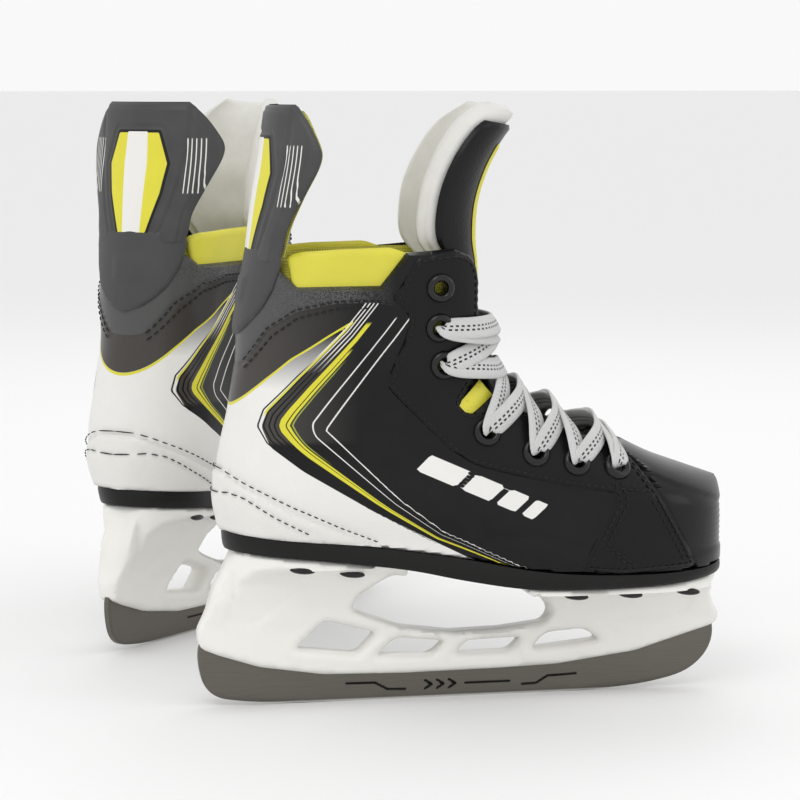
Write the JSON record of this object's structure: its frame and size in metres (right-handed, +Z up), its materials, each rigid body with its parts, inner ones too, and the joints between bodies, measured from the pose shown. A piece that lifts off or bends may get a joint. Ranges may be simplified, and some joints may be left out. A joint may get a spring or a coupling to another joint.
{
  "type": "hockey skates",
  "caption": "Pair of child's ice hockey skates: laced padded boot with tendon guard and tongue on a blade holder with a steel runner.",
  "frame": {"origin": "middle of the right runner's flat on the ice", "axes": "+X towards the right skate's toe, +Z up, +Y towards the left skate"},
  "size_m": [0.2481, 0.3288, 0.2461],
  "materials": {
    "runner_steel": "satin ground",
    "holder_nylon": "satin moulded",
    "outsole_plastic": "satin",
    "board": "matt",
    "footbed_foam": "brushed",
    "upper_black": "glossy coated",
    "toe_black": "glossy",
    "upper_white": "satin coated",
    "guard_grey": "satin moulded",
    "lining_yellow": "knitted",
    "tongue_black": "satin coated",
    "felt_white": "felt",
    "lace_white": "woven",
    "eyelet_black": "satin"
  },
  "bodies": {
    "right_boot": {"right_runner": "runner_steel", "right_blade_holder": "holder_nylon", "right_outsole": "outsole_plastic", "right_insole_board": "board", "right_footbed": "footbed_foam", "right_quarter_outer": "upper_black", "right_quarter_inner": "upper_black", "right_toe_cap": "toe_black", "right_heel_counter": "upper_white", "right_guard_base": "guard_grey", "right_liner": "lining_yellow", "right_tongue_base": "tongue_black", "right_lace": "lace_white", "right_eyelet_outer_1": "eyelet_black", "right_eyelet_outer_2": "eyelet_black", "right_eyelet_outer_3": "eyelet_black", "right_eyelet_outer_4": "eyelet_black", "right_eyelet_outer_5": "eyelet_black", "right_eyelet_outer_6": "eyelet_black", "right_eyelet_outer_7": "eyelet_black", "right_eyelet_inner_1": "eyelet_black", "right_eyelet_inner_2": "eyelet_black", "right_eyelet_inner_3": "eyelet_black", "right_eyelet_inner_4": "eyelet_black", "right_eyelet_inner_5": "eyelet_black", "right_eyelet_inner_6": "eyelet_black"},
    "right_tongue": {"right_tongue_felt": "felt_white", "right_tongue_face": "tongue_black"},
    "right_guard": {"right_tendon_guard": "guard_grey", "right_guard_lining": "lining_yellow"},
    "left_boot": {"left_runner": "runner_steel", "left_blade_holder": "holder_nylon", "left_outsole": "outsole_plastic", "left_insole_board": "board", "left_footbed": "footbed_foam", "left_quarter_outer": "upper_black", "left_quarter_inner": "upper_black", "left_toe_cap": "toe_black", "left_heel_counter": "upper_white", "left_guard_base": "guard_grey", "left_liner": "lining_yellow", "left_tongue_base": "tongue_black", "left_lace": "lace_white", "left_eyelet_outer_1": "eyelet_black", "left_eyelet_outer_2": "eyelet_black", "left_eyelet_outer_3": "eyelet_black", "left_eyelet_outer_4": "eyelet_black", "left_eyelet_outer_5": "eyelet_black", "left_eyelet_outer_6": "eyelet_black", "left_eyelet_outer_7": "eyelet_black", "left_eyelet_inner_1": "eyelet_black", "left_eyelet_inner_2": "eyelet_black", "left_eyelet_inner_3": "eyelet_black", "left_eyelet_inner_4": "eyelet_black", "left_eyelet_inner_5": "eyelet_black", "left_eyelet_inner_6": "eyelet_black"},
    "left_tongue": {"left_tongue_felt": "felt_white", "left_tongue_face": "tongue_black"},
    "left_guard": {"left_tendon_guard": "guard_grey", "left_guard_lining": "lining_yellow"}
  },
  "joints": [
    {"name": "right_tongue_flex", "type": "hinge", "parent": "right_boot", "child": "right_tongue", "pos_m": [0.0075, 0, 0.178], "axis": [0, 1, 0], "range_deg": [0, 25], "stiffness_Nm_per_rad": 0.3},
    {"name": "right_guard_flex", "type": "hinge", "parent": "right_boot", "child": "right_guard", "pos_m": [-0.0855, 0, 0.1872], "axis": [0, 1, 0], "range_deg": [-14, 6], "stiffness_Nm_per_rad": 0.6},
    {"name": "left_tongue_flex", "type": "hinge", "parent": "left_boot", "child": "left_tongue", "pos_m": [-0.05393, 0.20153, 0.178], "axis": [-0.7373, 0.6756, 0], "range_deg": [0, 25], "stiffness_Nm_per_rad": 0.3},
    {"name": "left_guard_flex", "type": "hinge", "parent": "left_boot", "child": "left_guard", "pos_m": [-0.11676, 0.13296, 0.1872], "axis": [-0.7373, 0.6756, 0], "range_deg": [-14, 6], "stiffness_Nm_per_rad": 0.6},
    {"name": "left_skate_apart", "type": "slide", "parent": "right_boot", "child": "left_boot", "axis": [0, 1, 0], "range_m": [0, 0.15]}
  ]
}
